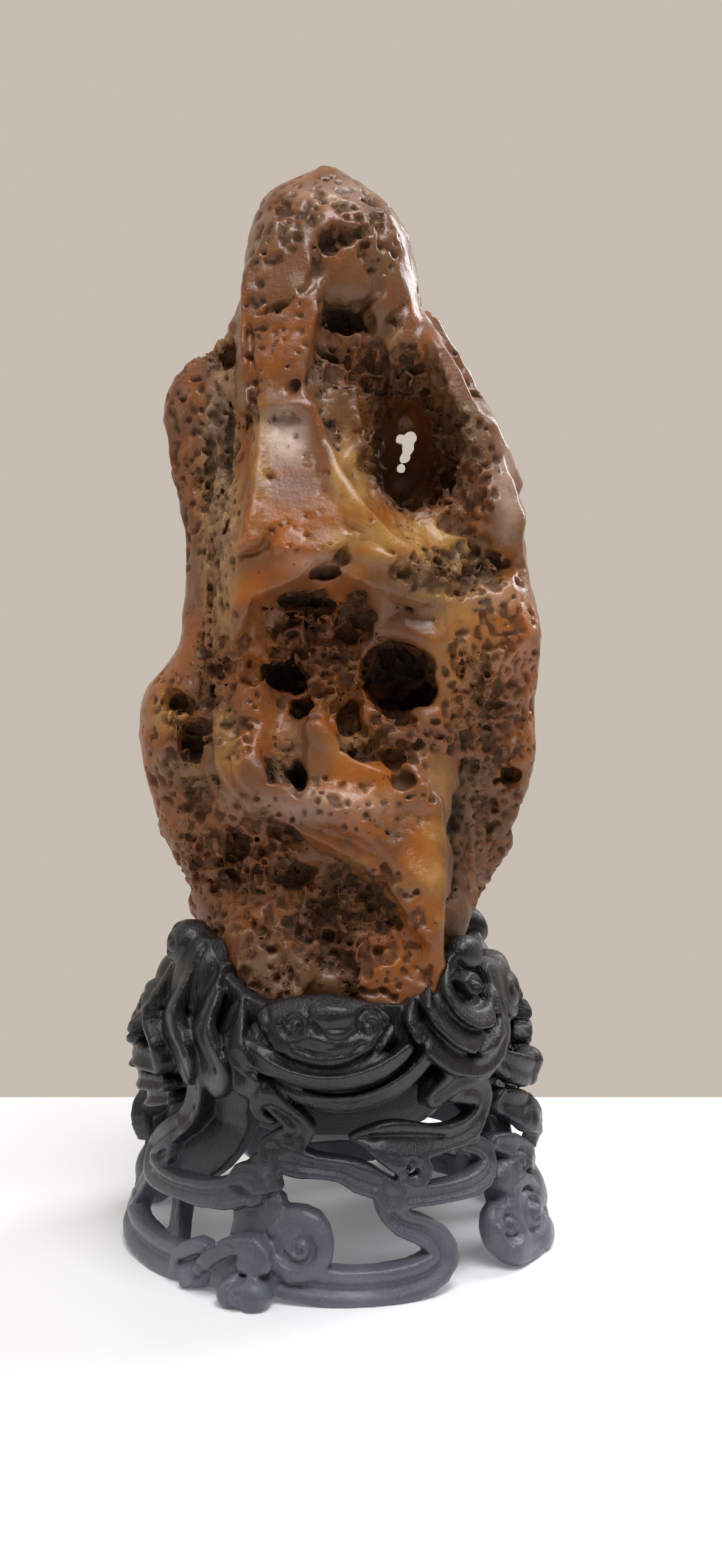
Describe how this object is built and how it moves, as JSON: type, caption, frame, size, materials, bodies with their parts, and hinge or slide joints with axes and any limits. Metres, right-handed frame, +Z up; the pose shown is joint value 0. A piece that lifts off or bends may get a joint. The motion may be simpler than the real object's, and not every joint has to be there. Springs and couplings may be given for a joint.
{
  "type": "scholars rock on a stand",
  "caption": "Tall weathered scholars rock with hollows and a hole right through it, standing in the socket of a black openwork stand carved with clouds and scrolls",
  "frame": {"origin": "on the table under the middle of the object", "axes": "+Z up, the front of the stone and of the stand faces -Y, +X to the right seen from the front"},
  "size_m": [0.1576, 0.1618, 0.405],
  "materials": {
    "stone": "worn and waxed on the high places, rough and granular in the hollows",
    "blackwood": "carved, black stained, semi-gloss with a fine grain"
  },
  "bodies": {
    "root": {"stone": "stone", "stand": "blackwood"}
  },
  "joints": []
}
